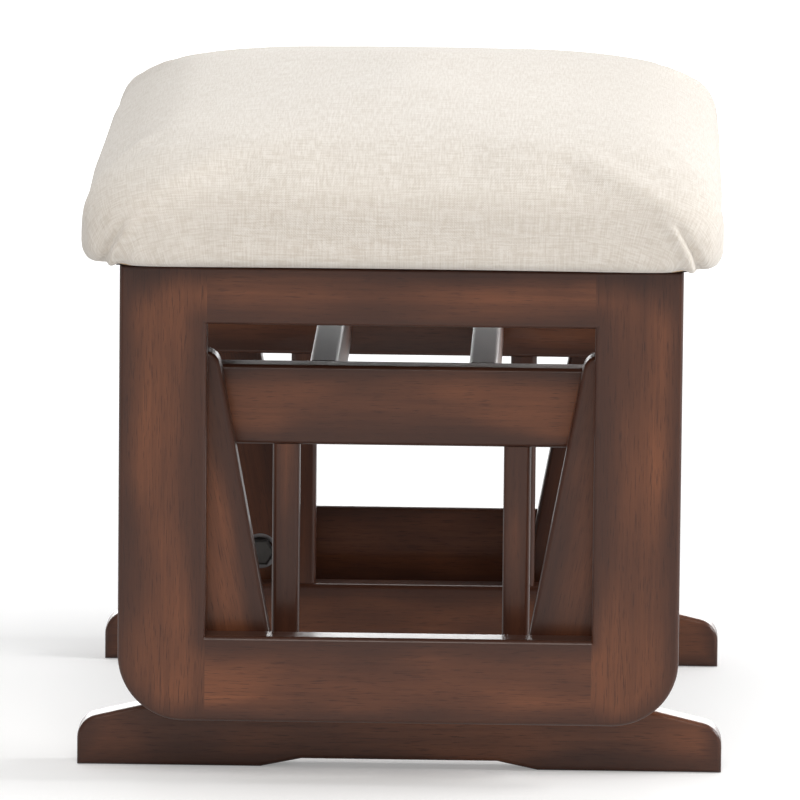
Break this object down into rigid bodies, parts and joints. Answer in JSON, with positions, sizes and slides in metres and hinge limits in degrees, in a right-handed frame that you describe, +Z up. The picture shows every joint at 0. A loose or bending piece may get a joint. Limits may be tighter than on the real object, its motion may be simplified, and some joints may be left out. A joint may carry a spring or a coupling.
{
  "type": "glider ottoman",
  "caption": "Wooden glider ottoman: two ring frames under a crowned cushion hang on leaning swing links from a sled base.",
  "frame": {"origin": "on the floor, under the middle of the ottoman at rest", "axes": "+Z up, +X the way the seat glides (front), +Y the left side, along the cushion's long way"},
  "size_m": [0.381, 0.508, 0.395],
  "materials": {
    "walnut_wood": "satin lacquer over dark walnut stain",
    "oatmeal_fabric": "fine linen-like weave, beige",
    "seat_foam": "open-cell foam",
    "dust_cloth": "black non-woven cloth",
    "plywood": "bare plywood",
    "bearing_steel": "ground bearing steel",
    "zinc_steel": "bright zinc plate"
  },
  "bodies": {
    "base": {"front_left_post": "walnut_wood", "front_right_post": "walnut_wood", "front_stretcher": "walnut_wood", "left_base_rail": "walnut_wood", "left_foot": "walnut_wood", "rear_left_post": "walnut_wood", "rear_right_post": "walnut_wood", "rear_stretcher": "walnut_wood", "right_base_rail": "walnut_wood", "right_foot": "walnut_wood", "upper_pivot_bolts": "zinc_steel"},
    "seat": {"cushion_cover": "oatmeal_fabric", "cushion_foam": "seat_foam", "dust_cover": "dust_cloth", "front_seat_cleat": "walnut_wood", "left_ring_bottom_rail": "walnut_wood", "left_ring_front_stile": "walnut_wood", "left_ring_rear_stile": "walnut_wood", "left_ring_top_rail": "walnut_wood", "lower_pivot_bolts": "zinc_steel", "rear_seat_cleat": "walnut_wood", "right_ring_bottom_rail": "walnut_wood", "right_ring_front_stile": "walnut_wood", "right_ring_rear_stile": "walnut_wood", "right_ring_top_rail": "walnut_wood", "seat_board": "plywood", "seat_screws": "zinc_steel"},
    "front_right_swing_link": {"front_right_link": "walnut_wood", "front_right_link_bearings": "bearing_steel"},
    "rear_right_swing_link": {"rear_right_link": "walnut_wood", "rear_right_link_bearings": "bearing_steel"},
    "front_left_swing_link": {"front_left_link": "walnut_wood", "front_left_link_bearings": "bearing_steel"},
    "rear_left_swing_link": {"rear_left_link": "walnut_wood", "rear_left_link_bearings": "bearing_steel"}
  },
  "joints": [
    {"name": "front_right_swing", "type": "hinge", "parent": "base", "child": "front_right_swing_link", "pos_m": [0.1245, -0.1927, 0.221], "axis": [0, -1, 0], "range_deg": [-15, 15]},
    {"name": "rear_right_swing", "type": "hinge", "parent": "base", "child": "rear_right_swing_link", "pos_m": [-0.1245, -0.1927, 0.221], "axis": [0, -1, 0], "range_deg": [-15, 15]},
    {"name": "front_left_swing", "type": "hinge", "parent": "base", "child": "front_left_swing_link", "pos_m": [0.1245, 0.1927, 0.221], "axis": [0, -1, 0], "range_deg": [-15, 15]},
    {"name": "rear_left_swing", "type": "hinge", "parent": "base", "child": "rear_left_swing_link", "pos_m": [-0.1245, 0.1927, 0.221], "axis": [0, -1, 0], "range_deg": [-15, 15]},
    {"name": "seat_tilt", "type": "hinge", "parent": "front_right_swing_link", "child": "seat", "pos_m": [0.0952, -0.1927, 0.0645], "axis": [0, -1, 0], "range_deg": [-19.7, 19.7]}
  ],
  "couplings": [
    {"joint": "rear_right_swing", "follows": "front_right_swing", "ratio": 1},
    {"joint": "front_left_swing", "follows": "front_right_swing", "ratio": 1},
    {"joint": "rear_left_swing", "follows": "front_right_swing", "ratio": 1},
    {"joint": "seat_tilt", "follows": "front_right_swing", "ratio": -1.3078}
  ]
}
